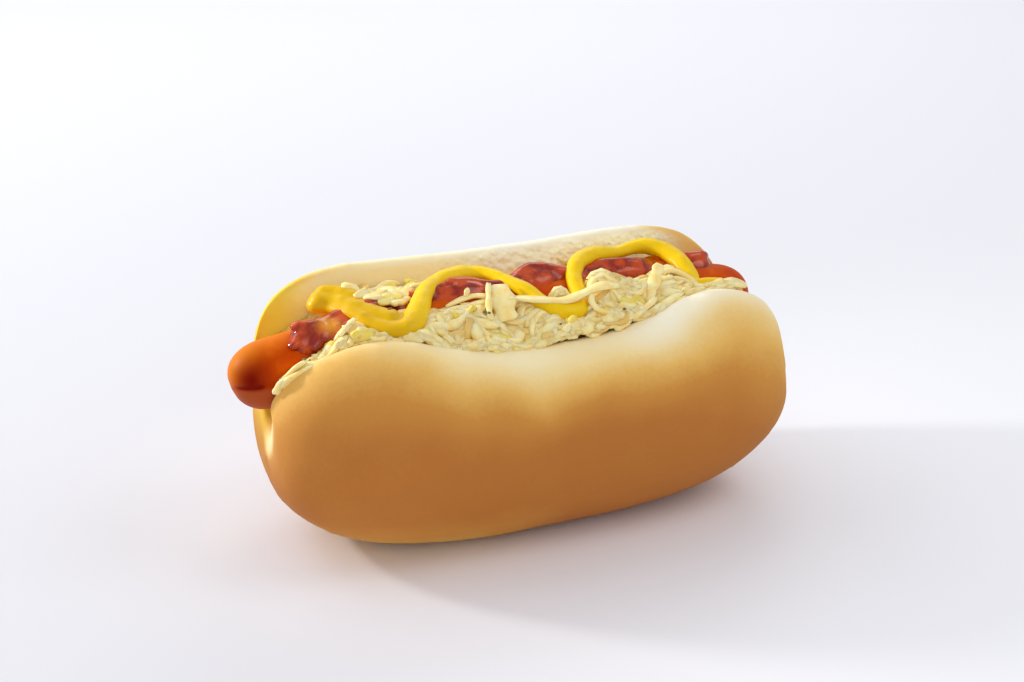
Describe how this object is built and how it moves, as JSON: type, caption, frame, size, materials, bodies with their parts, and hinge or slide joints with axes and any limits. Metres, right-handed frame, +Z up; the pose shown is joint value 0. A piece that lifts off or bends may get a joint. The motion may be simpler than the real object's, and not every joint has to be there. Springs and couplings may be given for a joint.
{
  "type": "hot dog",
  "caption": "Hot dog: a soft split roll standing on its hinge edge, filled with a frankfurter, sauerkraut, ketchup and a zigzag of mustard.",
  "frame": {"origin": "on the floor, under the middle of the roll", "axes": "+X along the roll towards its plain end, +Y from the lower front half to the taller back half, +Z up"},
  "size_m": [0.1552, 0.0755, 0.0681],
  "materials": {
    "roll": "soft baked crust, golden brown and satin on the outside, pale dry crumb at the rims and in the cut",
    "frankfurter": "moist orange-red frankfurter skin with a wet sheen",
    "ketchup": "thick dark red ketchup, wet and glossy",
    "mustard": "thick yellow mustard, smooth with a soft gloss",
    "sauerkraut": "moist cream-coloured shredded cabbage with yellow pieces, slightly translucent",
    "herb": "small dry dark herb flecks"
  },
  "bodies": {
    "root": {"roll": "roll", "frankfurter": "frankfurter", "sauerkraut": "sauerkraut"}
  },
  "joints": []
}
